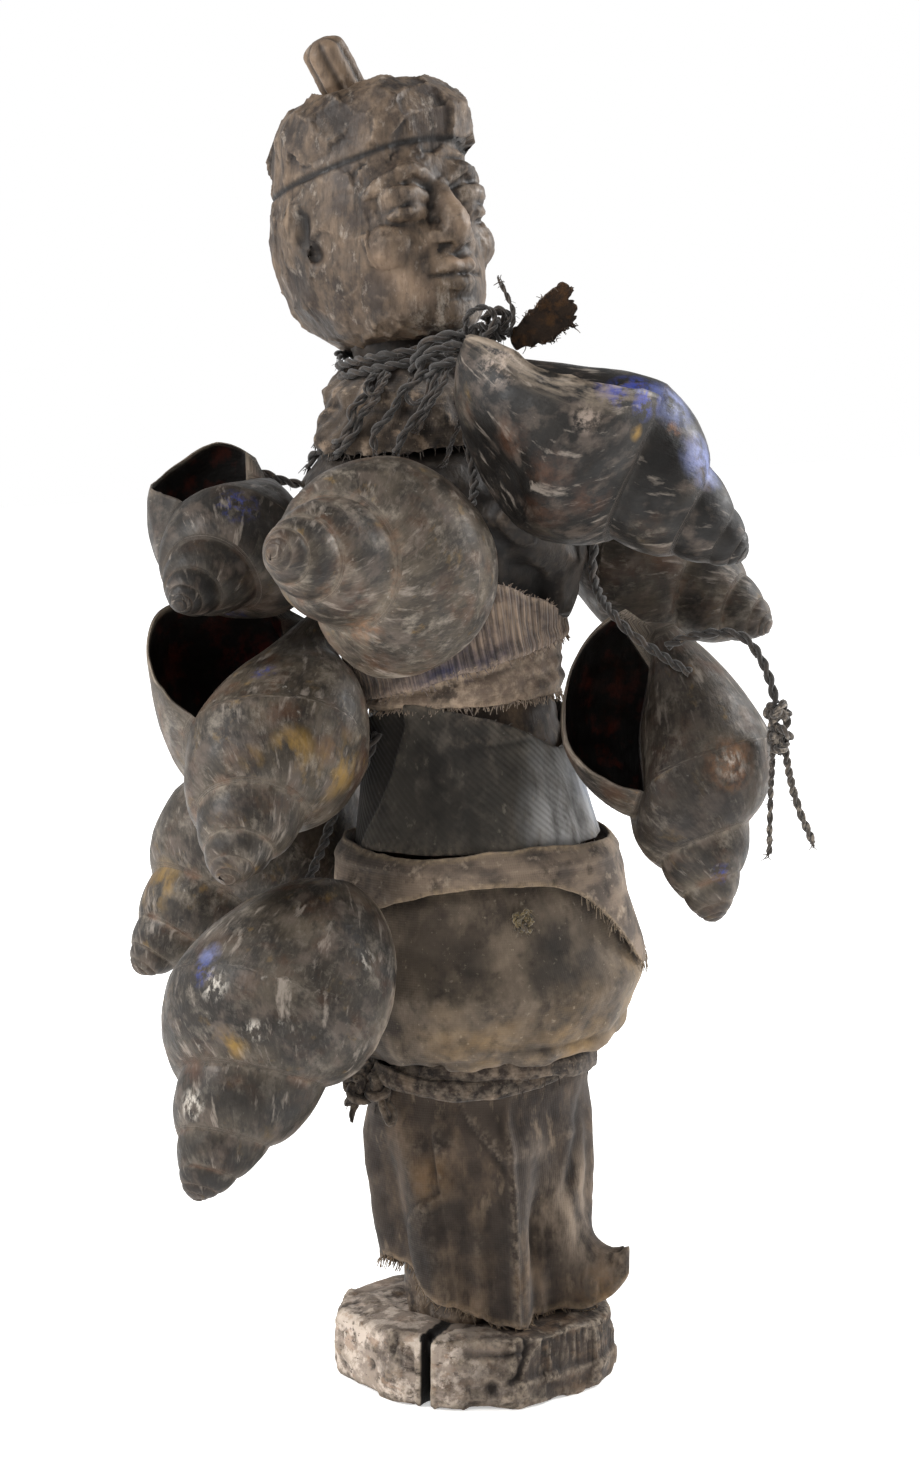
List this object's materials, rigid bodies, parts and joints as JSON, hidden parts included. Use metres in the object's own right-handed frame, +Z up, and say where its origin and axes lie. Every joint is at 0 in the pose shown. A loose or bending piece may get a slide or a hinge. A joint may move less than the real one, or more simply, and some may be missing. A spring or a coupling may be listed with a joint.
{
  "type": "bocio figure",
  "caption": "Standing carved wooden bocio figure on a round base, bound in cloth strips and hung all round with large snail shells on cords.",
  "frame": {"origin": "centre of the base's underside, on the surface it stands on", "axes": "+Z up; the figure faces -Y; its own left is +X"},
  "size_m": [0.2495, 0.2055, 0.4992],
  "materials": {
    "wood": "matte",
    "shell": "satin",
    "cloth": "matte",
    "twill": "matte",
    "knit": "matte",
    "cord": "matte"
  },
  "bodies": {
    "root": {"carved_figure": "wood", "cap_peg": "wood", "shell_shoulder": "shell", "shell_behind_shoulder": "shell", "shell_open": "shell", "shell_chest": "shell", "shell_left_upper": "shell", "shell_left_middle": "shell", "shell_left_lower": "shell", "shell_hip": "shell", "leg_cloth": "cloth", "hip_cloth": "cloth", "waist_flap": "cloth", "torso_cloth": "twill", "lower_band": "cloth", "chest_band": "knit", "neck_cloth": "cloth", "hip_tie": "cloth", "hip_knot": "cloth", "belly_tuft": "cord", "neck_cord": "cord", "throat_knot": "cord", "strap_tail": "cloth", "cord_open_shell": "cord", "cord_chest_shell": "cord", "cord_hip_shell": "cord", "cord_left_lower_shell": "cord", "cord_back_shell": "cord", "cord_left_upper_shell": "cord", "cord_left_middle_shell": "cord", "tail_cord": "cord", "tail_knot": "cord", "tail_end_long": "cord", "tail_end_wide": "cord"}
  },
  "joints": []
}
